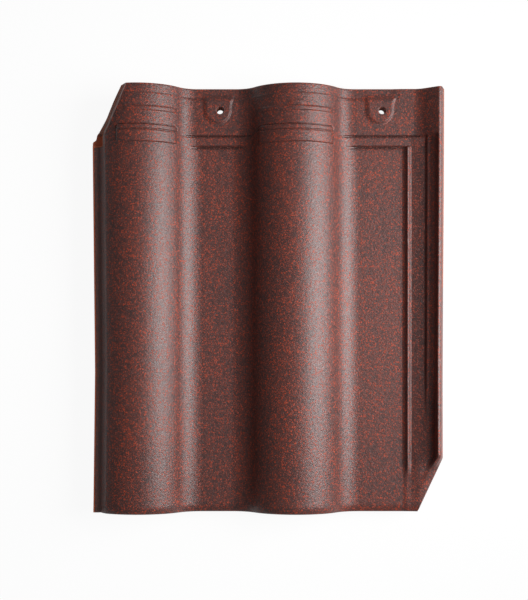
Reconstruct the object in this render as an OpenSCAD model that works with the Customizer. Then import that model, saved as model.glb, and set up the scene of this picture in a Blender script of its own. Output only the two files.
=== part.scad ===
// Double-roll interlocking roof tile, pressed from clay and fired in one piece.
// X runs across the tile, +Y points up the slope to the head edge, and Z is up.
// The tile lies level on its nibs and tail bars, with its origin at the centre of its base.

/* [Overall] */
// Length from the head edge to the tail edge
tile_length = 410; // [360:1:460]
// Thickness of the fired clay in the pans and rolls
wall = 11; // [9:0.5:14]

/* [Rolls] */
// Distance from one roll crest to the next
roll_pitch = 152; // [146:1:165]
// Height of a roll crest above the pans
roll_height = 31; // [26:0.5:36]
// Radius of the top of a roll
crest_radius = 49.5; // [44:0.5:54]
// Radius of the hollow curve between a roll and a pan
valley_radius = 28; // [22:0.5:30]

/* [Cover flange] */
// Distance from the first crest to the outer edge of the cover flange
flange_reach = 43.5; // [41:0.5:50]
// Distance from the first crest to the crease where the flange leaves the roll
flange_start = 29.7; // [28:0.1:31]
// Distance from the first crest to the crease above the lip
lip_start = 37; // [35:0.5:38.5]
// Height of that lower crease above the pans
lip_crease = 10.5; // [9.5:0.5:12]
// Height of the lip's lower edge above the pans
lip_height = 6; // [5:0.5:7]
// Height of the lip's upright outer face
lip_edge = 2; // [1:0.5:3]
// Thickness of the lip at its lower edge
lip_thickness = 4.5; // [3:0.5:6]
// Width of the hook at its lower end
hook_width = 7; // [5:0.5:9]

/* [Side channel] */
// Height of the inner rib above the pans
rib_height = 4; // [3:0.5:5]
// Width of the inner rib at its foot
rib_width = 8; // [7:0.5:9]
// Width of the inner rib at its top
rib_top_width = 1.5; // [1:0.5:3]
// Width of the ledge that carries the inner rib
ledge = 6; // [5.5:0.5:6.5]
// Height of the channel floor above the pans, beside the inner rib
channel_rise = 1.5; // [1:0.25:2]
// Width of the channel floor
channel_width = 13.5; // [12.5:0.5:15]
// Rise of the channel floor away from the inner rib
floor_rise = 1; // [0.5:0.25:1.5]
// Sideways lean of the channel's outer wall
channel_draft = 3; // [2:0.5:4]
// Distance from the inner rib's foot to the start of the slope at the head
slope_offset = 1.5; // [1:0.5:3]
// Radius of the curve at the foot of the slope
slope_radius = 18; // [16:0.5:20]
// Height of the outer rim above the pans
rim_height = 16; // [14:0.5:16.5]
// Width of the outer rim at its top
rim_width = 4.5; // [3:0.5:6]
// Width of the side lock, from the inner rib's foot to the tile's edge
lock_width = 32; // [31:0.5:34]
// Sideways lean of the rim's outer face
rim_draft = 3; // [1:0.5:5]
// Clearance between the parts of two tiles that interlock
lock_clearance = 2; // [1:0.5:3]

/* [Head] */
// Length of the lower strip along the head edge
head_strip = 9.5; // [6:0.5:14]
// Distance from the head edge to the first step across the pans
step_1 = 45.5; // [42:0.5:50]
// Distance from the head edge to the second step across the pans
step_2 = 55.5; // [52:0.5:64]
// Rise of the head strip above the pans
strip_rise = 2; // [1.5:0.25:2.5]
// Rise of the nail zone above the pans
head_rise = 3; // [2.75:0.25:4]
// Rise of the band between the two steps above the pans
band_rise = 1.5; // [1:0.25:2.5]
// Distance from the ends of the roll bands to the steepest line of the roll
crown_margin = 2; // [1:0.5:8]
// Distance from the first crest to the left ends of its bands
crown_left = 20; // [14:1:24]
// Rise of the band and of the upper rib on each roll
crown_rise = 1.2; // [0.8:0.2:1.4]
// Rise of the lower rib on each roll
crown_rib_rise = 2; // [1.6:0.2:2.8]
// Width of each rib across a roll
crown_rib = 4; // [3:0.5:6]
// Distance from the head edge to the upper rib
upper_rib = 22; // [14:0.5:30]
// Distance from the head edge to the lower rib, which borders the band
lower_rib = 39.5; // [37:0.5:44]

/* [Nail holes] */
// Diameter of each nail hole
nail_diameter = 6.5; // [4:0.5:8]
// Distance of the nail holes from the head edge
nail_from_head = 21.5; // [18:0.5:26]
// Width of the raised boss round each nail hole
boss_width = 25; // [22:0.5:28]
// Distance from the head edge to the lower end of the bosses
boss_end = 33.5; // [32:0.5:36]
// Distance of each boss's middle from its nail hole, towards the roll
boss_offset = 2; // [1:0.5:3]
// Rise of the bosses above the nail zone
boss_rise = 1.5; // [1:0.25:2]
// Distance of the first nail hole from the foot of the first roll
nail_offset_1 = 17; // [14:0.5:20]
// Distance of the second nail hole from the foot of the second roll
nail_offset_2 = 22; // [15:0.5:26]

/* [Corner cuts] */
// Width of the cut at the left of the head edge
head_cut_width = 26; // [20:0.5:30]
// Length of the cut at the left of the head edge
head_cut_length = 52; // [46:0.5:54]
// Distance from the end of that cut, at crest level, out to the flange's edge
shoulder = 10.5; // [9:0.5:12]
// Slope of that cut's face from upright, in degrees
cut_draft = 15; // [10:1:20]
// Width of the cut at the right of the tail edge
tail_cut_width = 25.5; // [18:0.5:28]
// Length of the cut at the right of the tail edge
tail_cut_length = 52; // [44:1:60]

/* [Underside] */
// Depth of the nibs and tail bars below the pans
nib_depth = 9; // [7:0.5:14]
// Width of each batten nib
nib_width = 34; // [28:1:40]
// Length of each batten nib at its root
nib_length = 13; // [10:0.5:15]
// Slope of the nib's and bar's sides, as a sideways run
nib_draft = 2; // [1:0.5:3]
// Distance from the head edge to the nibs
nib_inset = 2; // [1:0.5:3]
// Distance from the tail edge to the tail bars
bar_inset = 10; // [6:1:16]
// Distance from the tail edge to the inner rib's lower end
rib_inset = 35; // [25:1:60]
// Length of each tail bar at its root
bar_length = 12; // [9:0.5:16]

/* [Hidden] */
$fn = 180;

// Every solid that joins another reaches this far into it
sink = 1;
// Every cutter passes this far out of the clay
over = 2;
// A raised pan reaches this far past the foot of a roll, into its flank
flank = 16;

// Levels: the underside and the top of the pans above the ground
pan_base = nib_depth;
pan_top = nib_depth + wall;
crest_top = pan_top + roll_height;
crest_axis = crest_top - crest_radius;
valley_axis = pan_top + valley_radius;

// Distance from a crest to the foot of its valley curve, and to the steepest line between them
both_radii = crest_radius + valley_radius;
roll_foot = sqrt(pow(both_radii, 2) - pow(both_radii - roll_height, 2));
steep_line = roll_foot * crest_radius / both_radii;
crown_reach = steep_line - crown_margin;
cover_width = 2 * roll_pitch;

// Places across the tile, from the first crest at zero
rib_mid = cover_width - flange_reach;
rib_right = rib_mid + rib_width / 2;
tile_width = flange_reach + rib_right + lock_width;

// Levels of the channel and the rim
floor_level = pan_top + channel_rise;
rim_top = pan_top + rim_height;

// Places of the crests and edges once the tile is centred
left_edge = -tile_width / 2;
right_edge = tile_width / 2;
crest_1 = left_edge + flange_reach;
crest_2 = crest_1 + roll_pitch;
head = tile_length / 2;
tail = -tile_length / 2;
nails = [crest_1 + roll_foot + nail_offset_1, crest_2 + roll_foot + nail_offset_2];

// Stretches a flat outline along the tile from one place to another
module run(from, to) {
    translate([0, to, 0])
        rotate([90, 0, 0])
            linear_extrude(height = to - from)
                children();
}

// A strip of even thickness round an axis, inside an outline
module bend(axis, inner, outline) {
    intersection() {
        translate(axis)
            difference() {
                circle(r = inner + wall);
                circle(r = inner);
            }
        polygon(outline);
    }
}

// The top of a roll about x = 0, from its right steep line to a given left end
module crest(left_end) {
    axis = [0, crest_axis];
    bend(axis, crest_radius - wall,
         [axis,
          [roll_foot, valley_axis],
          [roll_foot, crest_top + over],
          [-roll_foot, crest_top + over],
          left_end]);
}

// The valley curve on one side of a roll, then the flat pan out to a given distance
module valley(side, reach) {
    axis = [side * roll_foot, valley_axis];
    bend(axis, valley_radius,
         [axis,
          [0, crest_axis],
          [side * roll_foot, valley_axis - both_radii]]);
    translate([side > 0 ? roll_foot : -reach, pan_base])
        square([reach - roll_foot, wall]);
}

// The cover flange: it leaves the first roll, ends in a lip and carries the hook
module flange() {
    crease = sqrt(pow(crest_radius, 2) - pow(flange_start, 2));
    inner = 1 - wall / crest_radius;
    hook_left = rib_right + lock_clearance - cover_width;
    hook_base = floor_level + lock_clearance;
    polygon([[-flange_start, crest_axis + crease],
             [-lip_start, pan_top + lip_crease],
             [-flange_reach, pan_top + lip_height + lip_edge],
             [-flange_reach, pan_top + lip_height],
             [-flange_reach + lip_thickness, pan_top + lip_height],
             [hook_left, hook_base],
             [hook_left + hook_width, hook_base],
             [-flange_start * inner, crest_axis + crease * inner]]);
}

// The first roll, with the cover flange on its left
module first_roll() {
    crease = sqrt(pow(crest_radius, 2) - pow(flange_start, 2));
    crest([-flange_start, crease] * both_radii / crest_radius + [0, crest_axis]);
    valley(1, roll_pitch / 2 + sink);
    flange();
}

// The second roll, with a valley on both sides and the pan that ends at the inner rib
module second_roll() {
    crest([-roll_foot, valley_axis]);
    valley(-1, roll_pitch / 2);
    valley(1, rib_right - roll_pitch);
}

// The slope about the inner rib's foot: a curve, a straight part and the outer rim
module slope(floor_z) {
    difference() {
        polygon([[0, pan_base],
                 [slope_offset + slope_radius / 2, pan_base],
                 [lock_width, pan_top],
                 [lock_width - rim_draft, rim_top],
                 [lock_width - rim_draft - rim_width, rim_top],
                 [slope_offset + 0.6 * slope_radius, floor_z + 0.2 * slope_radius],
                 [slope_offset, floor_z + slope_radius / 2],
                 [slope_offset, floor_z],
                 [0, floor_z]]);
        translate([slope_offset, floor_z + slope_radius])
            circle(r = slope_radius);
    }
}

// The channel that is cut out of the slope below the head, with its ledge
module channel() {
    polygon([[-ledge, floor_level],
             [0, floor_level],
             [channel_width, floor_level + floor_rise],
             [channel_width + channel_draft, rim_top + over],
             [-ledge, rim_top + over]]);
}

// Both rolls with their pans
module rolls() {
    translate([crest_1, 0])
        first_roll();
    translate([crest_2, 0])
        second_roll();
}

// Clay that raises the pans by a step, from flank to flank
module raised_pans(rise) {
    from = roll_foot - flank;
    translate([crest_1 + from, pan_top - sink])
        square([roll_pitch - 2 * from, rise + sink]);
    translate([crest_2 + from, pan_top - sink])
        square([rib_right - roll_pitch - from, rise + sink]);
}

// The cross-section at the head, with raised pans and without the side channel
module head_section(rise) {
    rolls();
    raised_pans(rise);
    translate([crest_1 + rib_right, 0])
        slope(pan_top + rise);
}

// The cross-section below the head, with the side channel and its ledge
module section() {
    rolls();
    translate([crest_1 + rib_right, 0]) {
        difference() {
            slope(pan_top + head_rise);
            channel();
        }
        translate([-ledge, pan_base])
            square([ledge, floor_level - pan_base]);
    }
}

// A band across the top of a roll, raised by a step, out to a given distance on its left
module raised_crown(x, left, rise) {
    translate([x, crest_axis + rise])
        intersection() {
            difference() {
                circle(r = crest_radius);
                circle(r = crest_radius - wall / 2);
            }
            translate([-left, 0])
                square([left + crown_reach, 2 * crest_radius]);
        }
}

// The bands across both rolls
module raised_crowns(rise) {
    raised_crown(crest_1, crown_left, rise);
    raised_crown(crest_2, crown_reach, rise);
}

// The inner rib between pan and channel
module inner_rib() {
    x = crest_1 + rib_mid;
    polygon([[x - rib_width / 2 + sink, pan_top - sink],
             [x - rib_width / 2, pan_top],
             [x - rib_top_width / 2, pan_top + rib_height],
             [x + rib_top_width / 2, pan_top + rib_height],
             [x + rib_width / 2, floor_level],
             [x + rib_width / 2 - sink, pan_top - sink]]);
}

// The raised boss round a nail hole, open towards the head
module boss(x) {
    base = pan_top - sink;
    rise = head_rise + boss_rise + sink;
    translate([x, head - boss_end + boss_width / 2, base])
        cylinder(d = boss_width, h = rise);
    translate([x - boss_width / 2, head - boss_end + boss_width / 2, base])
        cube([boss_width, boss_end - boss_width / 2 - head_strip, rise]);
}

// A lug under a pan, with sloping sides and a given slope on its face towards the tail
module lug(x, from, width, length, tail_draft) {
    translate([x, 0, 0])
        intersection() {
            translate([-width / 2, 0, 0])
                rotate([90, 0, 90])
                    linear_extrude(height = width)
                        polygon([[from, nib_depth + sink],
                                 [from, nib_depth],
                                 [from + tail_draft, 0],
                                 [from + length - nib_draft, 0],
                                 [from + length, nib_depth],
                                 [from + length, nib_depth + sink]]);
            run(from, from + length)
                polygon([[-width / 2, nib_depth + sink],
                         [-width / 2, nib_depth],
                         [-width / 2 + nib_draft, 0],
                         [width / 2 - nib_draft, 0],
                         [width / 2, nib_depth],
                         [width / 2, nib_depth + sink]]);
        }
}

// Cuts the corner at the left of the head, with a sloping face, down to the shoulder
module head_corner() {
    slant = atan(head_cut_width / head_cut_length);
    reach = 2 * head_cut_length;
    intersection() {
        translate([crest_1 - flange_reach + shoulder + head_cut_width, head, crest_top])
            rotate([0, 0, -slant])
                rotate([0, cut_draft, 0])
                    translate([-reach, -reach, -reach])
                        cube([reach, 2 * reach, 2 * reach]);
        translate([left_edge - over, head - head_cut_length, -over])
            cube([tile_width, head_cut_length + over, crest_top + 2 * over + crown_rib_rise]);
    }
}

// Cuts the corner at the right of the tail
module tail_corner() {
    linear_extrude(height = crest_top)
        polygon([[right_edge - tail_cut_width, tail],
                 [right_edge, tail + tail_cut_length],
                 [right_edge + over, tail + tail_cut_length],
                 [right_edge + over, tail - over],
                 [right_edge - tail_cut_width, tail - over]]);
}

module tile() {
    color("#4a2f2b")
        difference() {
            union() {
                run(tail, head - step_1) section();
                run(head - step_2, head - step_1) raised_pans(band_rise);
                run(head - step_1, head - head_strip) head_section(head_rise);
                run(head - head_strip, head) head_section(strip_rise);
                run(head - step_2, head - lower_rib - crown_rib) raised_crowns(crown_rise);
                run(head - lower_rib - crown_rib, head - lower_rib) raised_crowns(crown_rib_rise);
                run(head - upper_rib - crown_rib, head - upper_rib) raised_crowns(crown_rise);
                run(tail + rib_inset, head - step_2) inner_rib();
                for (x = nails) {
                    boss(x - boss_offset);
                    lug(x, head - nib_inset - nib_length, nib_width, nib_length, 0);
                    lug(x, tail + bar_inset, nib_width, bar_length, nib_draft);
                }
            }
            for (x = nails)
                translate([x, head - nail_from_head, 0])
                    cylinder(d = nail_diameter, h = crest_top);
            head_corner();
            tail_corner();
        }
}

tile();
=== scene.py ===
# Looks of the clay roof tile: a detailed mesh of the tile, its engobe and raw clay, floor, lamp and camera.
# Lengths are in millimetres until the mesh is made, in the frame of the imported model.
import math

import bmesh
import bpy
import numpy as np
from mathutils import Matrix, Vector


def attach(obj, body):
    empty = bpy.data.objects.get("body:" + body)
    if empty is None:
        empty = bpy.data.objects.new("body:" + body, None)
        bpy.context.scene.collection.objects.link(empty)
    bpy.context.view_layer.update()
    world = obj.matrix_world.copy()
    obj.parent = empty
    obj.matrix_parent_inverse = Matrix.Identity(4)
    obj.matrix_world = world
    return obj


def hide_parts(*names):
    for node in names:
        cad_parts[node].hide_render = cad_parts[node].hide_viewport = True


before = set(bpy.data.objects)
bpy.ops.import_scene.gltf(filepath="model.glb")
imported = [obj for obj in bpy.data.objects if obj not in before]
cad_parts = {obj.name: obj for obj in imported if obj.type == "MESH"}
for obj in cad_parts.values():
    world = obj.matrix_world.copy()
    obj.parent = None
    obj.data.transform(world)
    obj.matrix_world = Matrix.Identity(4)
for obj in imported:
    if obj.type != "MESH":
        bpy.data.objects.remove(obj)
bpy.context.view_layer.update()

MM = 0.001

# Camera: it looks straight down, and the picture's centre lies up the tile from it
CAMERA_PLACE = (-4.8, -67.5, 1224.0)
CAMERA_LENS = 74.4
CAMERA_SHIFT_Y = 0.1167

# The tile's outline; the mesh's columns between the two anchors keep their places
LEFT, RIGHT, TAIL, HEAD = -170.0, 170.0, -205.0, 205.0
LEFT_ANCHOR, RIGHT_ANCHOR = -112.0, 138.5

# Levels of the pans
PAN_BASE, PAN_TOP = 9.0, 20.0

# Rolls: crests, the circle of each crest and of each valley, on the upper face
CREST_1, CREST_2 = -126.5, 25.5
CREST_R, CREST_Z = 49.5, 1.5
VALLEY_R, VALLEY_Z, VALLEY_X = 28.0, 48.0, 62.0
TURN_X = 39.6
ROLL_HEIGHT = 31.0
WALL = 11.0

# Cover flange: its creases on top, and its lip and hook below
FLANGE = [(-170.0, 29.4), (-163.0, 30.6), (-157.0, 40.5)]
HOOK = [(-170.0, 26.0), (-165.5, 26.0), (-164.0, 23.5), (-157.0, 23.5), (-149.6, 32.3)]
FLANGE_SEAM = -140.0
STRIP_OF_FLANGE = (-168.0, -163.4)
FLANGE_END = -157.0

# Side lock: sections of its upper face
LOCK_START, LOCK_SEAM = 120.0, 126.0
LEDGE = [(130.6, 20.0), (133.4, 21.4), (138.0, 21.5)]
RIM = [(162.6, 35.8), (163.3, 36.0), (166.2, 34.8), (169.7, 22.5), (170.0, 21.8)]
CHANNEL = [(152.0, 23.3), (152.9, 26.3), (155.6, 26.9), (160.4, 31.0)]
WIDE_CHANNEL = [(158.3, 24.6), (160.4, 28.0)]
SLOPE_X, SLOPE_Z, SLOPE_R, SLOPE_END = 139.5, 41.0, 18.0, 150.3
RIB = [
    (128.4, 19.0), (130.0, 20.2), (131.6, 20.9), (133.0, 22.2), (134.0, 23.9), (134.6, 24.0), (138.0, 21.4),
]
RIB_END, RIB_TAPER, RIB_OUT = -170.0, 16.0, 138.5
WIDENING = (-60.0, -130.0)
CHANNEL_SPAN, CHANNEL_MID, CHANNEL_END = (138.6, 151.4), 146.0, -186.0
RIM_BASE = [(148.5, PAN_BASE), (170.0, 20.0)]

# Head, measured down from the head edge
STRIP, STEP_1, STEP_2 = 9.5, 45.5, 55.5
STRIP_W, STEP_1_W, STEP_2_W = 2.6, 0.8, 1.6
STEP_SPREAD, SPREAD_FROM, SPREAD_OVER = 5.0, 141.0, 11.0
STRIP_RISE, HEAD_RISE, BAND_RISE = 2.0, 3.0, 1.5
STRIP_DROP = 0.3
STRIP_FADE, STRIP_FADE_OVER = 117.0, 8.0
UPPER_RIB, LOWER_RIB, RIB_LENGTH = 22.0, 39.5, 4.0
UPPER_RIB_RISE, LOWER_RIB_RISE, CROWN_RISE = 1.2, 1.9, 1.4
UPPER_RIB_SIDE, UPPER_RIB_TIP, CROWN_SIDE, LOWER_RIB_SIDE = 1.1, 1.4, 0.9, 1.1
UPPER_RIB_LEAST, UPPER_RIB_GROWS = 0.65, 30.0
CROWNS = [(-144.6, -89.2), (-9.9, 60.9)]
UPPER_CROWNS = [(-137.5, -89.6), (-7.0, 60.0)]
TAB = (20.0, 32.0, 16.5, 23.5, 0.6)
GROOVE_DEPTH, GROOVE_WIDTH = 0.7, 0.6

# Grooves at the feet of the steps: depth, fading at the ends, and (place, width, spans) of each
PAN_GROOVE, SPAN_FADE = 0.5, 12.0
PAN_GROOVES = [
    (STEP_1 + 0.7, 0.9, [(-81.0, -18.0), (71.0, 150.0)]),
    (STEP_2 + 1.3, 1.4, [(-74.0, -25.0), (79.0, 128.0)]),
]

# Nail holes and their bosses
NAILS = [-47.5, 109.5]
NAIL_Y, NAIL_R = 183.5, 3.25
BOSS_SIDE, BOSS_Y, BOSS_R, BOSS_RISE = -2.0, 184.0, 12.5, 1.65
BOSS_FLARE, BOSS_FLARE_LENGTH = 2.6, 2.4
BOSS_EDGE, BOSS_SOFT_EDGE, BOSS_RUN_OUT = 1.5, 4.0, 6.0
HOLE_BLOCK, HOLE_RING, HOLE_RIM, HOLE_FOOT, HOLE_SIDES = 5.6, 1.7, 0.9, 0.6, 40

# Corner cuts: plan lines as (y, x) tables of the outer edge and the upper edge
CUT_OUTER = [
    (151.4, -170.0), (152.2, -169.4), (154.2, -166.7), (158.1, -166.0), (200.5, -143.5), (205.0, -141.1),
]
CUT_UPPER = [(149.0, -161.4), (156.8, -158.4), (164.9, -153.8), (185.2, -144.2), (205.0, -135.8)]
CUT_START, CUT_BEND, CUT_FACE, CUT_FULL = 151.4, 154.2, 157.0, 158.5
CUT_BLEND, CUT_BLEND_LENGTH = 156.0, 5.0
CUT_THICKNESS, CUT_REACH = 2.0, -125.0
CUT_BURR, CUT_BURR_WIDTH, CUT_BURR_START = 0.25, 0.4, 155.0
NOTCH_X, NOTCH_Y, NOTCH_Z = -161.6, 149.0, 27.6
NOTCH_R, NOTCH_BOWL, NOTCH_WALL, NOTCH_REACH = 0.6, 0.35, 3.4, 6.0
TAIL_CUT = ((144.5, -205.0), (170.0, -153.0))
TURN_BELOW, TURN_FROM, TURN_OVER = -90.0, 138.0, 6.0
LEDGE_END = (-190.0, -163.0, -150.0)
LEDGE_SHARE, LEDGE_SINK, LEDGE_FOOT, LEDGE_FADE = 0.1, 0.7, 132.0, 14.0

# How far the sides have drawn in while firing, as (y, mm) tables
LEFT_BOW = [(-205.0, 0.6), (-197.0, 0.8), (-69.0, 2.3), (0.0, 1.6), (151.0, 0.0)]
RIGHT_BOW = [(-205.0, 1.3), (-81.0, 1.5), (0.0, 1.1), (100.0, 0.4), (196.0, 0.0)]

# Lugs under the pans
LUG_HALF, LUG_DRAFT, NIB_FACE = 17.0, 2.0, 0.3
NIB = (190.0, 203.0)
BAR = (-195.0, -183.0)

# Roundness and unevenness
EDGE_R, BASE_R, NOSE_R, NOSE_SINK, STEP_W = 1.3, 0.8, 8.0, 2.6, 1.0
SOFTNESS = 0.45
UNEVEN = 0.1
EDGE_STEPS = np.array([0.0, 0.04, 0.15, 0.33, 0.56, 0.8, 1.0])
BASE_STEPS = np.array([0.0, 0.15, 0.5, 1.0])

# Raw clay: along the left lip, along the right edge as a (y, share of engobe) table, and along the head
RAW_LEFT, RAW_RIGHT, RAW_HEAD, RAW_SOFT = -168.2, 168.4, 0.7, 0.8
RAW_SIDE = [(-157.0, 0.5), (-50.0, 0.55), (-45.0, 1.0), (8.0, 1.0), (14.0, 0.25), (76.0, 0.0), (205.0, 0.0)]

# Colours of the engobe, its specks and the clay, with a painted glint, painted shade for creases and the cut
# face, and a paler colour for wear and painted light
DARK, BROWN = (0.050, 0.024, 0.022, 1.0), (0.092, 0.030, 0.024, 1.0)
GAP, RUSTY, GLINT_PALE = (0.034, 0.019, 0.019, 1.0), (0.105, 0.030, 0.022, 1.0), (0.135, 0.074, 0.070, 1.0)
SPECK_DEEP, SPECK_LIGHT = (0.25, 0.027, 0.009, 1.0), (0.32, 0.047, 0.017, 1.0)
SHADE_IN_CREASES, PAINTED_SHADE_DARK, WORN_AND_LIT = (0.020, 0.010, 0.009, 1.0), (0.012, 0.007, 0.007, 1.0), (0.30, 0.20, 0.18, 1.0)
CLAY_DEEP, CLAY_LIGHT = (0.26, 0.062, 0.028, 1.0), (0.34, 0.098, 0.048, 1.0)
CLAY_PAINTED_LIGHT, CLAY_SHADED = (0.46, 0.115, 0.052, 1.0), (0.16, 0.048, 0.026, 1.0)
WARP = 0.0009
ROUGH_CLAY, SPECULAR = 0.88, 0.42
BUMP_STRENGTH, BUMP_DISTANCE = 0.85, 0.00055

# Room, in metres and watts
FLOOR_HALF, FLOOR_GREY, FLOOR_ROUGH, FLOOR_WHITE = 3.0, 0.82, 0.9, 0.93
KEY_PLACE, KEY_AIM, KEY_SIZE = (0.72, 0.06, 0.59), (-0.02, 0.02, 0.0), (0.6, 0.76)
KEY_POWER, KEY_SPREAD = 4.35, 75.0
WORLD_LIGHT = 0.2


def smooth(t):
    """0 to 1 over t from 0 to 1, with soft ends."""
    t = np.clip(t, 0.0, 1.0)
    return t * t * (3.0 - 2.0 * t)


def step(v, at, width=STEP_W):
    """0 below a place and 1 above it, with a soft edge."""
    return smooth((v - at) / width + 0.5)


def between(v, low, high, width=STEP_W):
    """1 between two places and 0 outside, with soft edges."""
    return step(v, low, width) * (1.0 - step(v, high, width))


def table(v, pairs):
    """A value from a table of (place, value)."""
    places, values = zip(*sorted(pairs))
    return np.interp(v, places, values)


def roll_top(x, crest, rise):
    """Height of the upper face near one roll: crest circle, valley circle, and a pan raised by rise."""
    t = np.abs(x - crest)
    on_crest = CREST_Z + np.sqrt(np.maximum(CREST_R**2 - np.minimum(t, TURN_X) ** 2, 0.0))
    share = 1.0 - rise / ROLL_HEIGHT
    radius = (CREST_R + VALLEY_R) * share - CREST_R
    foot = VALLEY_X * share
    reach = np.clip(foot - t, 0.0, foot - TURN_X)
    in_valley = CREST_Z + (VALLEY_Z - CREST_Z) * share - np.sqrt(np.maximum(radius**2 - reach**2, 0.0))
    return np.where(t < TURN_X, on_crest, in_valley)


def roll_base(x, crest):
    """Height of the lower face near one roll."""
    inner, outer = CREST_R - WALL, VALLEY_R + WALL
    turn = TURN_X * inner / CREST_R
    t = np.abs(x - crest)
    on_crest = CREST_Z + np.sqrt(np.maximum(inner**2 - np.minimum(t, turn) ** 2, 0.0))
    reach = np.clip(VALLEY_X - t, 0.0, VALLEY_X - turn)
    return np.where(t < turn, on_crest, VALLEY_Z - np.sqrt(np.maximum(outer**2 - reach**2, 0.0)))


def blurred(line):
    """A section, sampled finely and softened at its creases, as a function of x."""
    pace, margin, ahead = 0.1, 6.0, 5
    xs = np.arange(LEFT - margin, RIGHT + margin, pace)
    zs = line(np.clip(xs, LEFT, RIGHT))
    inside = np.flatnonzero((xs >= LEFT) & (xs <= RIGHT))
    a, b = inside[0] + 1, inside[-1] - 1
    zs[:a] = zs[a] + (xs[:a] - xs[a]) * (zs[a + ahead] - zs[a]) / (ahead * pace)
    zs[b:] = zs[b] + (xs[b:] - xs[b]) * (zs[b] - zs[b - ahead]) / (ahead * pace)
    half = int(3 * SOFTNESS / pace)
    kernel = np.exp(-0.5 * (np.arange(-half, half + 1) * pace / SOFTNESS) ** 2)
    soft = np.convolve(np.pad(zs, half, mode="edge"), kernel / kernel.sum(), mode="valid")
    return lambda x: np.interp(x, xs, soft)


def lock_section(points):
    return blurred(lambda x: table(x, points))


def slope_points():
    """The slope beside the head zone: an arc, then straight up to the rim."""
    xs = np.linspace(SLOPE_X, SLOPE_END, 12)
    arc = [(x, SLOPE_Z - math.sqrt(SLOPE_R**2 - (x - SLOPE_X) ** 2)) for x in xs]
    return [(LOCK_START, SLOPE_Z - SLOPE_R)] + arc


def flange_section(x):
    return np.where(x < FLANGE[-1][0], table(x, FLANGE), roll_top(x, CREST_1, 0.0))


def base_section(x):
    z = np.maximum(roll_base(x, CREST_1), roll_base(x, CREST_2))
    z = np.where(x > RIM_BASE[0][0], table(x, RIM_BASE), z)
    return np.where(x < HOOK[-1][0], table(x, HOOK), z)


flange_top = blurred(flange_section)
body_lock = lock_section([(LOCK_START, PAN_TOP)] + LEDGE + CHANNEL + RIM)
wide_lock = lock_section([(LOCK_START, PAN_TOP)] + LEDGE + WIDE_CHANNEL + RIM)
band_lock = lock_section([(LOCK_START, PAN_TOP + BAND_RISE), LEDGE[-1]] + CHANNEL + RIM)
head_lock = lock_section(slope_points() + RIM)
rib_top = lock_section(RIB)
base_soft = blurred(base_section)


def capsule(x, d, left, right, start, end):
    """Distance outside a bar with rounded ends that lies across the tile."""
    half = 0.5 * (end - start)
    mid = 0.5 * (end + start)
    across = np.maximum(np.maximum(left + half - x, x - right + half), 0.0)
    return np.hypot(across, d - mid) - half


def crown_relief(x, d):
    """Ribs and bands over the crowns of the rolls, and one small raised tab."""
    add = -STRIP_DROP * (1.0 - step(d, STRIP))
    for (left, right), (rib_left, rib_right) in zip(CROWNS, UPPER_CROWNS):
        upper = between(d, UPPER_RIB, UPPER_RIB + RIB_LENGTH, UPPER_RIB_SIDE)
        upper = upper * between(x, rib_left, rib_right, UPPER_RIB_TIP)
        grown = UPPER_RIB_LEAST + (1.0 - UPPER_RIB_LEAST) * smooth((x - rib_left) / UPPER_RIB_GROWS)
        add = add + UPPER_RIB_RISE * upper * grown
        band = between(d, LOWER_RIB + 0.5 * RIB_LENGTH, STEP_2, CROWN_SIDE)
        band = band * between(x, left, right, CROWN_SIDE)
        out = capsule(x, d, left, right, LOWER_RIB, LOWER_RIB + RIB_LENGTH)
        raised = smooth(0.5 - out / LOWER_RIB_SIDE)
        add = add + CROWN_RISE * band * (1.0 - raised) + LOWER_RIB_RISE * raised
        add = add - GROOVE_DEPTH * np.exp(-(((out - GROOVE_WIDTH) / GROOVE_WIDTH) ** 2))
    left, right, start, end, rise = TAB
    return add + rise * between(x, left, right, CROWN_SIDE) * between(d, start, end, CROWN_SIDE)


def pan_grooves(x, d):
    """Shallow grooves at the feet of the two steps across the pans."""
    sunk = 0.0
    for at, wide, spans in PAN_GROOVES:
        for left, right in spans:
            sunk = sunk + PAN_GROOVE * np.exp(-(((d - at) / wide) ** 2)) * between(x, left, right, SPAN_FADE)
    return sunk


def boss_relief(x, y, d):
    """The raised bosses round the nail holes: crisp on the right, soft on the left and towards the head."""
    add = 0.0
    for nail in NAILS:
        mid = nail + BOSS_SIDE
        r = np.where(y < BOSS_Y, np.hypot(x - mid, y - BOSS_Y), np.abs(x - mid))
        flare = np.where(x > mid, BOSS_FLARE, 0.5 * BOSS_FLARE)
        wide = BOSS_R + flare * np.exp(-np.maximum(d - STRIP, 0.0) / BOSS_FLARE_LENGTH)
        blur = BOSS_EDGE + BOSS_SOFT_EDGE * smooth((mid - x + 4.0) / 12.0)
        add = add + BOSS_RISE * smooth((wide - r) / blur + 0.5) * step(d, STRIP - 1.0, BOSS_RUN_OUT)
    return add


def wave(x, y, seed):
    """A gentle unevenness of the pressed clay, from -1 to 1."""
    rng = np.random.default_rng(seed)
    z = 0.0
    for _ in range(6):
        k = rng.uniform(0.02, 0.07)
        a, b = rng.uniform(0.0, 2.0 * math.pi, 2)
        z = z + np.sin(k * (x * math.cos(a) + y * math.sin(a)) + b)
    return z / 6.0


def tail_cut_in(x, y):
    """Distance inside the tail cut's line, in plan."""
    (x0, y0), (x1, y1) = TAIL_CUT
    run = math.hypot(x1 - x0, y1 - y0)
    return -((x - x0) * (y1 - y0) - (y - y0) * (x1 - x0)) / run


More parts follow.
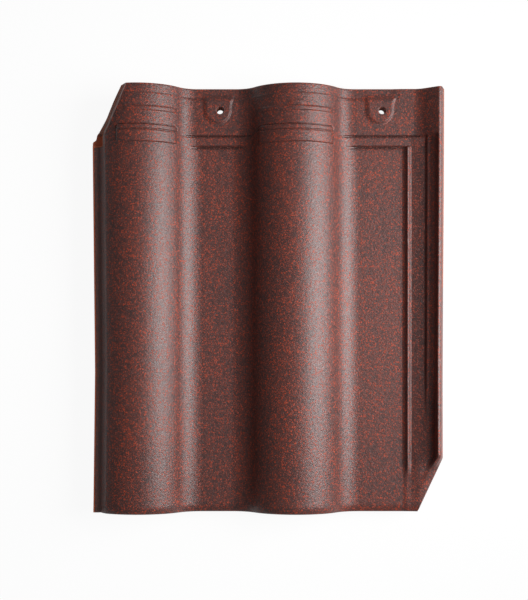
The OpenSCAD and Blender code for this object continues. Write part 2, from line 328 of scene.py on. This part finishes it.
def lock_top(x, y, d):
    """The side lock: its section turns along the tail cut and changes over the head zone."""
    turned = np.where(y < TURN_BELOW, np.maximum(x, RIGHT - tail_cut_in(x, y)), x)
    turned = x + (turned - x) * smooth((x - TURN_FROM) / TURN_OVER)
    wide = smooth((WIDENING[0] - y) / (WIDENING[0] - WIDENING[1]))
    body = body_lock(turned) * (1.0 - wide) + wide_lock(turned) * wide
    end, knee, start = LEDGE_END
    share = table(y, [(end, 0.0), (knee, LEDGE_SHARE), (start, 1.0), (HEAD, 1.0)])
    floor = body_lock(np.minimum(x, CHANNEL_MID))
    body = floor + (body - floor) * share
    body = body - LEDGE_SINK * step(x, LEDGE_FOOT, 3.4) * (1.0 - step(y, RIB_END - 2.0, LEDGE_FADE))
    ribbed = smooth((y - RIB_END + 1.5) / RIB_TAPER) * (1.0 - step(y, HEAD - STEP_2, 1.4))
    body = body + (np.maximum(body, rib_top(np.minimum(x, RIB_OUT))) - body) * ribbed
    second = step(d, STEP_2, STEP_2_W)
    first = step(d, STEP_1, STEP_W + STEP_SPREAD * smooth((x - SPREAD_FROM) / SPREAD_OVER))
    return head_lock(x) * (1.0 - first) + band_lock(x) * (first - second) + body * second


def uncut_top(x, y):
    """Height of the upper face before the corner cuts and the rounding of the edges."""
    d = HEAD - y
    strip = step(d, STRIP + 1.2, STRIP_W)
    first, second = step(d, STEP_1, STEP_1_W), step(d, STEP_2, STEP_2_W)
    low = STRIP_RISE + STRIP_DROP
    low = low + (HEAD_RISE - low) * smooth((x - STRIP_FADE) / STRIP_FADE_OVER)
    rise = low * (1.0 - strip) + HEAD_RISE * (strip - first)
    rise = rise + BAND_RISE * (first - second)
    z = np.maximum(roll_top(x, CREST_1, rise), roll_top(x, CREST_2, rise))
    z = np.where(x > LOCK_SEAM, lock_top(x, y, d), z + crown_relief(x, d))
    z = np.where(x < FLANGE_SEAM, flange_top(x) + crown_relief(x, d), z)
    z = z + boss_relief(x, y, d) - pan_grooves(x, d)
    return z - UNEVEN + UNEVEN * wave(x, y, 3)


def notch_out(x, y):
    """Distance outside the notch's corner, in plan."""
    return np.hypot(np.maximum(x - NOTCH_X, 0.0), np.maximum(NOTCH_Y - y, 0.0))


def cut_top(x, y, z):
    """Lowers the face to the head cut's sloping side and to the notch below it."""
    upper = table(y, CUT_UPPER)
    outer = table(y, CUT_OUTER)
    rim_z = flange_top(upper)
    low_z = base_soft(outer) + CUT_THICKNESS
    ruled = rim_z + (x - upper) * (rim_z - low_z) / np.maximum(upper - outer, 0.5)
    ruled = np.where(x > upper, rim_z + 3.0 * (x - upper), ruled)
    r = notch_out(x, y)
    notch = NOTCH_Z + NOTCH_BOWL * r**2 + NOTCH_WALL * np.maximum(r - NOTCH_R, 0.0)
    blend = smooth((y - CUT_BLEND) / CUT_BLEND_LENGTH)
    cut = notch * (1.0 - blend) + ruled * blend
    burr = CUT_BURR * np.exp(-(((x - upper - CUT_BURR_WIDTH) / CUT_BURR_WIDTH) ** 2))
    burr = burr * smooth((y - CUT_BURR_START) / 3.0)
    lowered = np.minimum(z + burr, np.where(y > NOTCH_Y - NOTCH_REACH, cut, z + 1.0))
    return np.where(x < CUT_REACH, lowered, z)


def top(x, y):
    return cut_top(x, y, uncut_top(x, y))


def base(x, y):
    """Height of the lower face before its edges are rounded."""
    z = base_soft(x)
    for nail in NAILS:
        across = np.clip((LUG_HALF - np.abs(x - nail)) / LUG_DRAFT, 0.0, 1.0)
        nib = np.clip(np.minimum((y - NIB[0]) / NIB_FACE, (NIB[1] - y) / LUG_DRAFT), 0.0, 1.0)
        bar = np.clip(np.minimum(y - BAR[0], BAR[1] - y) / LUG_DRAFT, 0.0, 1.0)
        z = z - PAN_BASE * np.minimum(across, np.maximum(nib, bar))
    return z


def runs(*parts):
    """Places from runs of (start, end, pace)."""
    return np.unique(np.round(np.concatenate([np.arange(a, b - 0.3 * c, c) for a, b, c in parts]), 3))


def top_columns():
    return runs(
        (-167.9, -156.0, 0.62), (-156.0, -142.0, 0.9), (-142.0, -92.0, 2.3), (-92.0, -86.0, 0.62),
        (-86.0, -65.0, 1.7), (-65.0, -33.0, 0.8), (-33.0, -13.0, 1.8), (-13.0, -6.0, 0.7), (-6.0, 58.0, 2.3),
        (58.0, 63.2, 0.65), (63.2, 92.0, 2.0), (92.0, 124.5, 0.8), (124.5, 127.4, 1.1), (127.4, 140.0, 0.45),
        (140.0, 149.6, 1.5), (149.6, 157.0, 0.5), (157.0, 161.3, 0.8), (161.3, RIGHT - EDGE_R - 0.2, 0.42),
    )


def top_rows():
    nose = TAIL + NOSE_R * (1.0 - np.cos(np.linspace(0.0, 0.5 * math.pi, 12)))
    rim = HEAD - EDGE_R * EDGE_STEPS
    body = runs(
        (TAIL + NOSE_R + 2.0, -174.0, 2.5), (-174.0, -167.0, 0.8), (-167.0, -148.0, 1.6),
        (-148.0, 142.0, 6.5), (142.0, 145.0, 1.0), (145.0, 168.0, 0.5), (168.0, 178.0, 1.0),
        (178.0, 190.0, 0.6), (190.0, 194.2, 1.0), (194.2, 197.0, 0.45), (197.0, 203.4, 1.6),
    )
    return np.unique(np.round(np.concatenate([nose, body, rim]), 3))


def base_columns():
    sides = [(-168.4, -148.0, 0.85), (-148.0, -66.0, 2.6), (-30.5, 91.0, 2.7), (126.5, 167.5, 2.7)]
    lugs = [n + s for n in NAILS for s in (-LUG_HALF, -LUG_HALF + LUG_DRAFT, LUG_HALF - LUG_DRAFT, LUG_HALF)]
    fine = runs((-60.5, -34.5, 1.6), (96.5, 122.5, 1.6))
    return np.unique(np.round(np.concatenate([runs(*sides), fine, lugs]), 3))


def base_rows():
    edges = BASE_STEPS * BASE_R
    lugs = [BAR[0], BAR[0] + LUG_DRAFT, -189.0, BAR[1] - LUG_DRAFT, BAR[1]]
    lugs += [NIB[0], NIB[0] + NIB_FACE, 196.0, NIB[1] - LUG_DRAFT, NIB[1]]
    body = runs(
        (-202.0, -196.0, 2.0), (-178.0, 150.0, 6.5), (150.0, 160.0, 1.25), (160.0, 176.0, 4.0),
        (176.3, 189.5, 1.45),
    )
    return np.unique(np.round(np.concatenate([TAIL + edges, body, lugs, HEAD - edges]), 3))


def row_keys(y, edge):
    """For a row: the left boundary, the end of the left edge group, and the right boundary."""
    left = table(y, CUT_OUTER) if y > CUT_START else LEFT
    rim = left + edge
    if y > CUT_BEND:
        rim = rim + (table(y, CUT_UPPER) - rim) * smooth((y - CUT_BEND) / (CUT_FULL - CUT_BEND))
    right = RIGHT
    (x0, y0), (x1, y1) = TAIL_CUT
    if y < y1:
        right = x0 + (y - y0) * (x1 - x0) / (y1 - y0)
    return left, rim, right


def grid(columns, ys, steps, edge):
    """Places in plan, row by row, with the outer columns drawn to the outline."""
    xs = []
    for y in ys:
        left, rim, right = row_keys(y, edge)
        body = columns.copy()
        near = body < LEFT_ANCHOR
        body[near] = rim + (body[near] - LEFT - edge) * (LEFT_ANCHOR - rim) / (LEFT_ANCHOR - LEFT - edge)
        far = body > RIGHT_ANCHOR
        scale = (right - edge - RIGHT_ANCHOR) / (RIGHT - edge - RIGHT_ANCHOR)
        body[far] = RIGHT_ANCHOR + (body[far] - RIGHT_ANCHOR) * scale
        xs.append(np.concatenate([left + (rim - left) * steps, body, right - edge * steps[::-1]]))
    xs = np.array(xs)
    return xs, np.repeat(ys[:, None], xs.shape[1], axis=1)


def rounding(s, r):
    """How far an edge of radius r has fallen at distance s inside the outline."""
    t = np.clip(s, 0.0, r)
    return r - np.sqrt(np.maximum(r * r - (r - t) ** 2, 0.0))


def nose_fall(s, room):
    """How far the tail's nose has sunk at distance s from its edge."""
    return np.minimum(NOSE_SINK, 0.35 * room) * np.clip(1.0 - s / NOSE_R, 0.0, 1.0) ** 2


def room_inside(x, y):
    """Upper and lower face, and the room between them, for the rounding of edges."""
    z_top, z_base = top(x, y), base(x, y)
    return z_top, z_base, np.maximum(z_top - z_base, 0.4)


def top_face(x, y):
    left, right = x[:, :1], x[:, -1:]
    z_top, _, room = room_inside(x, y)
    r = np.minimum(EDGE_R, 0.45 * room)
    fall = np.maximum(rounding(HEAD - y, r), rounding(right - x, r))
    fall = np.maximum(fall, np.where(y > CUT_FULL, 0.0, rounding(x - left, 0.45 * r)))
    fall = np.maximum(fall, rounding(y - TAIL, 0.8 * r) + nose_fall(y - TAIL, room))
    return z_top - fall


def base_face(x, y):
    left, right = x[:, :1], x[:, -1:]
    _, z_base, room = room_inside(x, y)
    r = np.minimum(BASE_R, 0.3 * room)
    fall = np.maximum(rounding(HEAD - y, r), rounding(right - x, r))
    fall = np.maximum(fall, np.maximum(rounding(x - left, r), rounding(y - TAIL, r)))
    return z_base + fall


def bowed(x, y):
    """Draws the long sides in by as much as firing has."""
    left = table(y, LEFT_BOW) * np.clip((LEFT_ANCHOR - x) / (LEFT_ANCHOR - LEFT), 0.0, 1.0)
    right = table(y, RIGHT_BOW) * np.clip((x - RIGHT_ANCHOR) / (RIGHT - RIGHT_ANCHOR), 0.0, 1.0)
    return x + left - right


class Shell:
    """Vertices, their zones and faces, gathered piece by piece."""

    def __init__(self):
        self.points, self.zones, self.faces, self.count = [], [], [], 0

    def add(self, x, y, z, zones):
        ids = np.arange(self.count, self.count + x.size).reshape(x.shape)
        self.points.append(np.stack([bowed(x, y), y, z], -1).reshape(-1, 3))
        self.zones.append(np.broadcast_to(zones, x.shape + (4,)).reshape(-1, 4))
        self.count += x.size
        return ids

    def cells(self, ids, skip):
        for j in range(ids.shape[0] - 1):
            for i in range(ids.shape[1] - 1):
                if not skip[j, i]:
                    self.faces.append((ids[j, i], ids[j, i + 1], ids[j + 1, i + 1], ids[j + 1, i]))

    def zip(self, a, places_a, b, places_b):
        """Triangles between two lines of vertices whose places both rise."""
        i = j = 0
        while i < len(a) - 1 or j < len(b) - 1:
            if j == len(b) - 1 or (i < len(a) - 1 and places_a[i + 1] <= places_b[j + 1]):
                self.faces.append((a[i], a[i + 1], b[j]))
                i += 1
            else:
                self.faces.append((a[i], b[j + 1], b[j]))
                j += 1


def hole_block(x, y, nail):
    """The block of cells round a nail hole: index ranges of columns and rows."""
    mid = np.argmin(np.abs(y[:, 0] - NAIL_Y))
    i = np.flatnonzero(np.abs(x[mid] - nail) < HOLE_BLOCK)
    j = np.flatnonzero(np.abs(y[:, 0] - NAIL_Y) < HOLE_BLOCK)
    return i[0], i[-1], j[0], j[-1]


def block_loop(ids, block):
    """The vertices round a block, in turn."""
    i0, i1, j0, j1 = block
    return np.concatenate([ids[j0, i0:i1], ids[j0:j1, i1], ids[j1, i1:i0:-1], ids[j1:j0:-1, i0]])


def turned_from_zero(ids, x, y, nail):
    """A loop of vertices as (ids, angles), rising from the smallest angle and closed."""
    angle = np.arctan2(y - NAIL_Y, x - nail)
    order = np.argsort(angle)
    ids, angle = ids[order], angle[order]
    return np.append(ids, ids[0]), np.append(angle, angle[0] + 2.0 * math.pi)


def nail_hole(shell, nail, upper, lower):
    """Rings from a block of the upper face down through the hole to a block of the lower face."""
    angle = np.linspace(-math.pi, math.pi, HOLE_SIDES, endpoint=False) + 0.01

    def circle(radius):
        return nail + radius * np.cos(angle), NAIL_Y + radius * np.sin(angle)

    rings = []
    for out in (HOLE_RING, HOLE_RIM):
        px, py = circle(NAIL_R + out)
        rings.append(shell.add(px, py, top(px, py), (1.0, 0.0, 1.0, 0.0)))
    for turn in (30.0, 60.0, 90.0):
        px, py = circle(NAIL_R + HOLE_RIM * (1.0 - math.sin(math.radians(turn))))
        fall = HOLE_RIM * (1.0 - math.cos(math.radians(turn)))
        rings.append(shell.add(px, py, top(px, py) - fall, (1.0 - turn / 180.0, 0.0, 0.6, 0.0)))
    for turn in (90.0, 45.0, 0.0):
        px, py = circle(NAIL_R + HOLE_FOOT * (1.0 - math.sin(math.radians(turn))))
        rise = HOLE_FOOT * (1.0 - math.cos(math.radians(turn)))
        rings.append(shell.add(px, py, np.full(HOLE_SIDES, PAN_BASE + rise), (0.3, 0.0, 0.3, 0.0)))
    lines = [upper]
    lines += [(np.append(ring, ring[0]), np.append(angle, angle[0] + 2.0 * math.pi)) for ring in rings]
    lines.append(lower)
    for (a, at_a), (b, at_b) in zip(lines, lines[1:]):
        shell.zip(a, at_a, b, at_b)


def bending(x, y, z):
    """How sharply a face bends, in 1/mm: above 0 in creases and below 0 at edges."""
    pace_x, pace_y = np.gradient(x, axis=1), np.gradient(y, axis=0)
    along_x = np.gradient(np.gradient(z, axis=1) / pace_x, axis=1) / pace_x
    along_y = np.gradient(np.gradient(z, axis=0) / pace_y, axis=0) / pace_y
    return along_x + along_y


def top_coat(x, y, on_cut, in_notch):
    """Share of engobe on the clay."""
    inner = 1.0 - step(x, RAW_RIGHT, RAW_SOFT)
    coat = np.minimum(np.maximum(table(y, RAW_SIDE), inner), 1.0)
    coat = np.minimum(coat, 0.25 + 0.75 * step(x, RAW_LEFT, RAW_SOFT))
    coat = np.minimum(coat, 0.4 + 0.6 * step(HEAD - y, RAW_HEAD, RAW_SOFT))
    coat = np.minimum(coat, 1.0 - in_notch)
    return np.where(on_cut, 0.47, coat)


def top_wear_and_light(x, y):
    """A paler colour: wear with a painted highlight along the head cut's upper edge, and painted light on
    the flange's strip and round the notch, which lie in the roll's shadow.
    """
    # wear and a painted highlight along the head cut's upper edge
    worn_and_lit = np.exp(-(((x - table(y, CUT_UPPER) - 0.3) / 0.4) ** 2)) * smooth((y - 150.0) / 4.0)
    # painted light on the flange's strip, which lies in the roll's shadow
    worn_and_lit = np.maximum(worn_and_lit, 0.35 * between(x, *STRIP_OF_FLANGE, 1.5) * (y < NOTCH_Y))
    # painted light round the notch, which lies in the roll's shadow
    near_notch = (y > 144.0) & (y < 156.5) & (x < -155.0)
    return np.maximum(worn_and_lit, 0.8 * np.exp(-(((notch_out(x, y) - 1.2) / 0.6) ** 2)) * near_notch)


def top_crease_shade(x, y, z):
    """Painted shade in creases, with some engobe pooled there: where the face bends up, in the side channel
    and in the pans' grooves.
    """
    inside = (x > LEFT + 3.0) & (x < RIGHT - 3.0) & (y > TAIL + NOSE_R + 2.0) & (y < HEAD - 2.0)
    crease_shade = smooth((bending(x, y, z) - 0.25) / 2.2) * inside
    # painted shade in the side channel, which lies below the rim
    channel = between(x, *CHANNEL_SPAN, 1.0) * step(HEAD - y, STEP_2) * (y > CHANNEL_END)
    crease_shade = np.maximum(crease_shade, 0.35 * channel)
    crease_shade = crease_shade * (1.0 - 0.6 * (1.0 - step(y, RIB_END, LEDGE_FADE)))
    # painted shade in the pans' grooves
    return np.maximum(crease_shade, np.minimum(1.0, 1.1 * pan_grooves(x, HEAD - y) / PAN_GROOVE))


def top_zones(x, y, z):
    """Per vertex: share of engobe on the clay, a paler colour for wear and painted light, density of
    speckles (low values also paint shade on the head cut's face), and painted shade in creases.
    """
    in_notch = (1.0 - step(x, NOTCH_X + 2.4, 0.8)) * between(y, NOTCH_Y - 2.4, 159.0, 2.0)
    in_notch = in_notch * (y > CUT_START - 5.0)
    on_cut = (x < table(y, CUT_UPPER)) & (y > CUT_FACE)
    bare = np.maximum(1.0 - step(x, RAW_LEFT, RAW_SOFT), in_notch)
    speckle = (1.0 - 0.35 * (1.0 - step(x, FLANGE_END, 3.0))) * (1.0 - bare)
    # on the head cut's face: fewer specks, and this low value paints the face near-black as shade
    speckle = np.where(on_cut, 0.3, speckle)
    return np.stack([top_coat(x, y, on_cut, in_notch), top_wear_and_light(x, y), speckle, top_crease_shade(x, y, z)], -1)


def base_zones(x, y):
    """The same for the lower face: engobe has run in a little at its edges."""
    edge = np.minimum(np.minimum(x - x[:, :1], x[:, -1:] - x), np.minimum(HEAD - y, y - TAIL))
    coat = 0.32 * np.exp(-edge / 6.0) + 0.1 * wave(x, y, 8)
    none = np.zeros(x.shape)
    return np.stack([coat, none, none + 0.4, none], -1)


def tile_shell():
    """The tile's upper and lower faces, the walls round its outline and its two nail holes."""
    shell = Shell()
    x, y = grid(top_columns(), top_rows(), EDGE_STEPS, EDGE_R)
    z = top_face(x, y)
    upper = shell.add(x, y, z, top_zones(x, y, z))
    u, v = grid(base_columns(), base_rows(), BASE_STEPS, BASE_R)
    lower = shell.add(u, v, base_face(u, v), base_zones(u, v))
    holes = []
    for ids, px, py in ((upper, x, y), (lower, u, v)):
        skip = np.zeros((ids.shape[0] - 1, ids.shape[1] - 1), bool)
        flat_x, flat_y = px.reshape(-1), py.reshape(-1)
        for nail in NAILS:
            block = hole_block(px, py, nail)
            skip[block[2] : block[3], block[0] : block[1]] = True
            loop = block_loop(ids, block)
            at = loop - ids[0, 0]
            holes.append(turned_from_zero(loop, flat_x[at], flat_y[at], nail))
        shell.cells(ids, skip)
    for k, nail in enumerate(NAILS):
        nail_hole(shell, nail, holes[k], holes[k + 2])
    for row in (0, -1):
        shell.zip(upper[row], x[row], lower[row], u[row])
    for column in (0, -1):
        shell.zip(upper[:, column], y[:, column], lower[:, column], v[:, column])
    return shell


def make_tile():
    """The tile as one object, with its zones as a colour of each vertex."""
    shell = tile_shell()
    points, zones = np.concatenate(shell.points) * MM, np.concatenate(shell.zones)
    used = np.unique(np.concatenate([np.array(f) for f in shell.faces]))
    index = np.full(len(points), -1)
    index[used] = np.arange(len(used))
    mesh = bpy.data.meshes.new("tile_clay")
    mesh.from_pydata(points[used].tolist(), [], [tuple(int(index[v]) for v in f) for f in shell.faces])
    solid = bmesh.new()
    solid.from_mesh(mesh)
    bmesh.ops.recalc_face_normals(solid, faces=solid.faces)
    solid.to_mesh(mesh)
    solid.free()
    mesh.shade_smooth()
    layer = mesh.color_attributes.new("zones", "FLOAT_COLOR", "POINT")
    layer.data.foreach_set("color", zones[used].reshape(-1))
    obj = bpy.data.objects.new("tile_clay", mesh)
    bpy.context.scene.collection.objects.link(obj)
    return obj


class Tree:
    """Short calls for building one material's nodes."""

    def __init__(self, name):
        self.material = bpy.data.materials.new(name)
        self.material.use_nodes = True
        self.tree = self.material.node_tree
        self.shader = self.tree.nodes["Principled BSDF"]
        self.output = self.tree.nodes["Material Output"]

    def node(self, kind, settings=None, **inputs):
        made = self.tree.nodes.new("ShaderNode" + kind)
        for key, value in (settings or {}).items():
            setattr(made, key, value)
        for key, value in inputs.items():
            self.put(made.inputs[key.replace("_", " ")], value)
        return made

    def put(self, socket, value):
        if isinstance(value, bpy.types.NodeSocket):
            self.tree.links.new(value, socket)
        else:
            socket.default_value = value

    def math(self, operation, a, b=0.0, clamp=False):
        made = self.tree.nodes.new("ShaderNodeMath")
        made.operation, made.use_clamp = operation, clamp
        self.put(made.inputs[0], a)
        self.put(made.inputs[1], b)
        return made.outputs[0]

    def ramp(self, value, low, high, to_low=0.0, to_high=1.0):
        made = self.node("MapRange", {"interpolation_type": "SMOOTHSTEP"}, Value=value)
        for key, number in (("From Min", low), ("From Max", high), ("To Min", to_low), ("To Max", to_high)):
            self.put(made.inputs[key], number)
        return made.outputs["Result"]

    def mix(self, factor, a, b):
        made = self.node("Mix", {"data_type": "RGBA"})
        self.put(made.inputs[0], factor)
        self.put(made.inputs[6], a)
        self.put(made.inputs[7], b)
        return made.outputs[2]

    def noise(self, place, scale, detail=3.0, roughness=0.55):
        made = self.node("TexNoise", Vector=place, Scale=scale, Detail=detail, Roughness=roughness)
        return made.outputs["Fac"]


def speckles(tree, place, scale, present, size):
    """Irregular specks: one in some of the cells of a Voronoi pattern."""
    cells = tree.node("TexVoronoi", {"feature": "F1"}, Vector=place, Scale=scale, Randomness=1.0)
    pick = tree.node("SeparateColor", Color=cells.outputs["Color"])
    reach = tree.math("MULTIPLY", pick.outputs["Green"], size)
    reach = tree.math("ADD", reach, 0.45 * size)
    inside = tree.math("SUBTRACT", reach, cells.outputs["Distance"])
    spot = tree.ramp(inside, 0.0, 0.09)
    return tree.math("MULTIPLY", spot, tree.ramp(pick.outputs["Red"], 1.0 - present, 1.0 - present + 0.02))


def warped(tree, place):
    """Places moved a little at random, so that specks get uneven outlines."""
    drift = tree.node("TexNoise", Vector=place, Scale=700.0, Detail=2.0)
    shift = tree.node("VectorMath", {"operation": "MULTIPLY_ADD"})
    tree.put(shift.inputs[0], drift.outputs["Color"])
    tree.put(shift.inputs[1], (WARP, WARP, WARP))
    tree.put(shift.inputs[2], place)
    return shift.outputs[0]


def engobe_colour(tree, place, noises, specks, worn_and_lit, density, crease_shade):
    """Dark brown engobe with gaps and orange-red specks, pale specks as painted glints, painted shade in
    creases and on the head cut's face, and a paler colour for wear and painted light.
    """
    broad, cloudy, fine = noises
    engobe = tree.mix(tree.ramp(cloudy, 0.38, 0.64), DARK, BROWN)
    engobe = tree.mix(tree.ramp(fine, 0.46, 0.64, 0.0, 0.75), engobe, GAP)
    engobe = tree.mix(tree.ramp(broad, 0.35, 0.7, 0.0, 0.3), engobe, RUSTY)
    # pale specks painted in as glints of the grainy engobe
    pale = tree.math("MULTIPLY", speckles(tree, place, 640.0, 0.45, 0.3), 0.55)
    engobe = tree.mix(pale, engobe, GLINT_PALE)
    orange = tree.mix(tree.ramp(fine, 0.35, 0.65), SPECK_DEEP, SPECK_LIGHT)
    engobe = tree.mix(specks, engobe, orange)
    # painted shade in creases, grooves and the side channel, with some pooled engobe
    engobe = tree.mix(tree.math("MULTIPLY", crease_shade, 0.7), engobe, SHADE_IN_CREASES)
    # painted shade: near-black where specks are sparse, chiefly on the head cut's face, which faces away
    # from the lamp
    engobe = tree.mix(tree.ramp(density, 0.2, 0.5, 1.0, 0.0), engobe, PAINTED_SHADE_DARK)
    # paler colour: wear and a painted highlight on the cut edge, painted light on the flange's strip and
    # round the notch
    return tree.mix(tree.math("MULTIPLY", worn_and_lit, 0.7), engobe, WORN_AND_LIT)


def clay_colour(tree, noises, density):
    """Raw clay, painted lighter where there are no specks, on the left lip and in the notch, which lie in
    shade.
    """
    _, cloudy, fine = noises
    clay = tree.mix(tree.ramp(cloudy, 0.3, 0.7), CLAY_DEEP, CLAY_LIGHT)
    # painted light: brighter clay on the shaded left lip and notch
    clay = tree.mix(tree.ramp(density, 0.0, 0.3, 1.0, 0.0), clay, CLAY_PAINTED_LIGHT)
    return tree.mix(tree.ramp(fine, 0.55, 0.75, 0.0, 0.5), clay, CLAY_SHADED)


def orange_specks(tree, place, broad, density):
    """Where the orange-red specks lie: two sizes of dots and fainter flecks, by their density."""
    uneven = warped(tree, place)
    large = speckles(tree, uneven, 440.0, 0.64, 0.31)
    small = speckles(tree, uneven, 690.0, 0.6, 0.38)
    flecks = tree.noise(place, 760.0, 2.0, 0.5)
    specks = tree.math("MAXIMUM", large, tree.math("MULTIPLY", small, 0.8))
    specks = tree.math("MAXIMUM", specks, tree.ramp(flecks, 0.54, 0.66, 0.0, 0.45))
    specks = tree.math("MULTIPLY", specks, tree.ramp(broad, 0.3, 0.6, 0.75, 1.0))
    return tree.math("MULTIPLY", specks, density)


def fired_clay():
    """Engobe with orange-red specks over raw clay, by the zones of each vertex."""
    tree = Tree("fired_clay")
    place = tree.node("TexCoord").outputs["Object"]
    zones = tree.node("Attribute", {"attribute_name": "zones"})
    parts = tree.node("SeparateColor", Color=zones.outputs["Color"])
    coat_map, worn_and_lit, density = parts.outputs["Red"], parts.outputs["Green"], parts.outputs["Blue"]
    crease_shade = zones.outputs["Alpha"]

    broad = tree.noise(place, 26.0, 3.0)
    cloudy = tree.noise(place, 210.0, 5.0, 0.62)
    fine = tree.noise(place, 900.0, 4.0, 0.6)
    noises = (broad, cloudy, fine)
    specks = orange_specks(tree, place, broad, density)
    engobe = engobe_colour(tree, place, noises, specks, worn_and_lit, density, crease_shade)
    clay = clay_colour(tree, noises, density)

    ragged = tree.math("ADD", coat_map, tree.math("MULTIPLY", tree.math("SUBTRACT", cloudy, 0.5), 0.7))
    coat = tree.ramp(ragged, 0.38, 0.62)
    tree.put(tree.shader.inputs["Base Color"], tree.mix(coat, clay, engobe))

    satin = tree.math("ADD", tree.ramp(fine, 0.3, 0.7, 0.34, 0.46), tree.math("MULTIPLY", specks, 0.16))
    satin = tree.math("SUBTRACT", satin, tree.math("MULTIPLY", crease_shade, 0.2))
    satin = tree.math("ADD", satin, tree.ramp(density, 0.0, 1.0, 0.5, 0.0), True)
    rough = tree.node("Mix", {"data_type": "FLOAT"})
    tree.put(rough.inputs[0], coat)
    tree.put(rough.inputs[2], ROUGH_CLAY)
    tree.put(rough.inputs[3], satin)
    tree.put(tree.shader.inputs["Roughness"], rough.outputs[0])
    tree.shader.inputs["Specular IOR Level"].default_value = SPECULAR

    grain = tree.noise(place, 2600.0, 2.0)
    pits = tree.noise(place, 460.0, 2.0, 0.5)
    height = tree.math("MULTIPLY", cloudy, 0.4)
    for layer, share in ((fine, 0.4), (pits, 0.5), (grain, 0.15), (specks, 0.12)):
        height = tree.math("ADD", height, tree.math("MULTIPLY", layer, share))
    bump = tree.node("Bump", Strength=BUMP_STRENGTH, Distance=BUMP_DISTANCE, Height=height)
    tree.put(tree.shader.inputs["Normal"], bump.outputs["Normal"])
    return tree.material


def add_floor():
    """A pale floor that the camera sees as nearly white, with the tile's shadow kept faintly."""
    half = FLOOR_HALF
    corners = [(-half, -half, 0), (half, -half, 0), (half, half, 0), (-half, half, 0)]
    mesh = bpy.data.meshes.new("floor")
    mesh.from_pydata(corners, [], [(0, 1, 2, 3)])
    floor = bpy.data.objects.new("floor", mesh)
    bpy.context.scene.collection.objects.link(floor)
    tree = Tree("floor")
    tree.shader.inputs["Base Color"].default_value = (FLOOR_GREY, FLOOR_GREY, FLOOR_GREY, 1.0)
    tree.shader.inputs["Roughness"].default_value = FLOOR_ROUGH
    path = tree.node("LightPath")
    seen = tree.math("MAXIMUM", path.outputs["Is Camera Ray"], path.outputs["Is Glossy Ray"])
    seen = tree.math("MAXIMUM", seen, path.outputs["Is Transmission Ray"])
    white = tree.node("Emission", Color=(1.0, 1.0, 1.0, 1.0), Strength=1.0)
    mixed = tree.node("MixShader")
    tree.put(mixed.inputs[0], tree.math("MULTIPLY", seen, FLOOR_WHITE))
    tree.put(mixed.inputs[1], tree.shader.outputs["BSDF"])
    tree.put(mixed.inputs[2], white.outputs["Emission"])
    tree.put(tree.output.inputs["Surface"], mixed.outputs["Shader"])
    floor.data.materials.append(tree.material)


def add_lamp():
    """A soft key lamp from the right, whose light falls off towards the head and the tail."""
    lamp = bpy.data.lights.new("key", "AREA")
    lamp.shape = "RECTANGLE"
    lamp.size, lamp.size_y = KEY_SIZE
    lamp.energy = KEY_POWER
    lamp.spread = math.radians(KEY_SPREAD)
    key = bpy.data.objects.new("key", lamp)
    key.location = KEY_PLACE
    key.rotation_euler = (Vector(KEY_AIM) - Vector(KEY_PLACE)).to_track_quat("-Z", "Y").to_euler()
    bpy.context.scene.collection.objects.link(key)


def add_world():
    world = bpy.data.worlds.new("studio")
    bpy.context.scene.world = world
    world.use_nodes = True
    back = world.node_tree.nodes["Background"]
    back.inputs["Color"].default_value = (1.0, 1.0, 1.0, 1.0)
    back.inputs["Strength"].default_value = WORLD_LIGHT


def add_camera():
    data = bpy.data.cameras.new("camera")
    data.lens = CAMERA_LENS
    data.shift_y = CAMERA_SHIFT_Y
    camera = bpy.data.objects.new("camera", data)
    camera.location = Vector(CAMERA_PLACE) * MM
    bpy.context.scene.collection.objects.link(camera)
    bpy.context.scene.camera = camera


def main():
    tile = make_tile()
    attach(tile, "root")
    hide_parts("tile")
    tile.data.materials.append(fired_clay())
    add_floor()
    add_lamp()
    add_world()
    add_camera()


bpy.context.scene.view_settings.view_transform = "Standard"
main()
